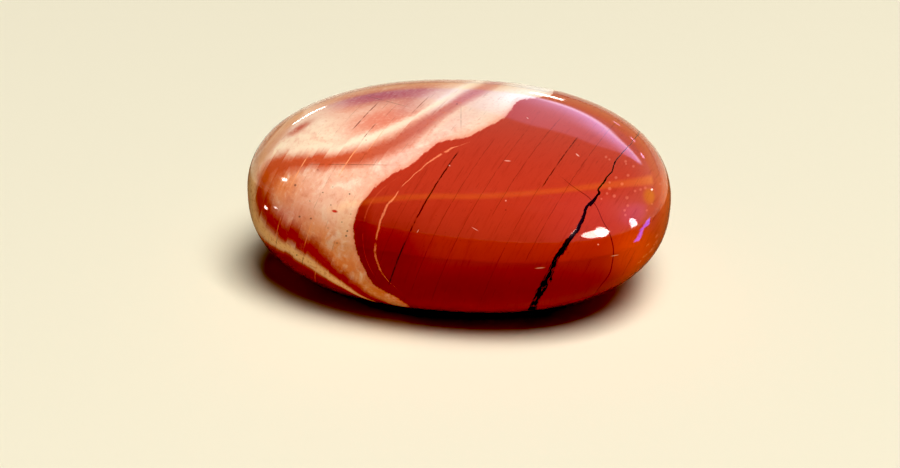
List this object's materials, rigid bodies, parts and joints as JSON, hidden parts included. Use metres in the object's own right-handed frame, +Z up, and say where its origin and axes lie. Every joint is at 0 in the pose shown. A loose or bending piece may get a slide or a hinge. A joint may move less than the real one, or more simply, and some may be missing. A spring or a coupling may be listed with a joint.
{
  "type": "red jasper stone",
  "caption": "Polished oval red jasper pebble with cream, pink and orange banding and a dark vein, resting on its broad side; a display or palm stone.",
  "frame": {"origin": "middle of the footprint's bounding box, on the plane the stone rests on", "axes": "+X along the stone's length toward its broad end, +Y across its width, away from the side with the picture's viewpoint, +Z up from the worn flat it rests on"},
  "size_m": [0.046, 0.0336, 0.0214],
  "materials": {
    "jasper": "high polish; brick-red mass, cream and salmon bands toward the narrow end, one dark brown vein near the broad end"
  },
  "bodies": {
    "root": {"jasper_stone": "jasper"}
  },
  "joints": []
}
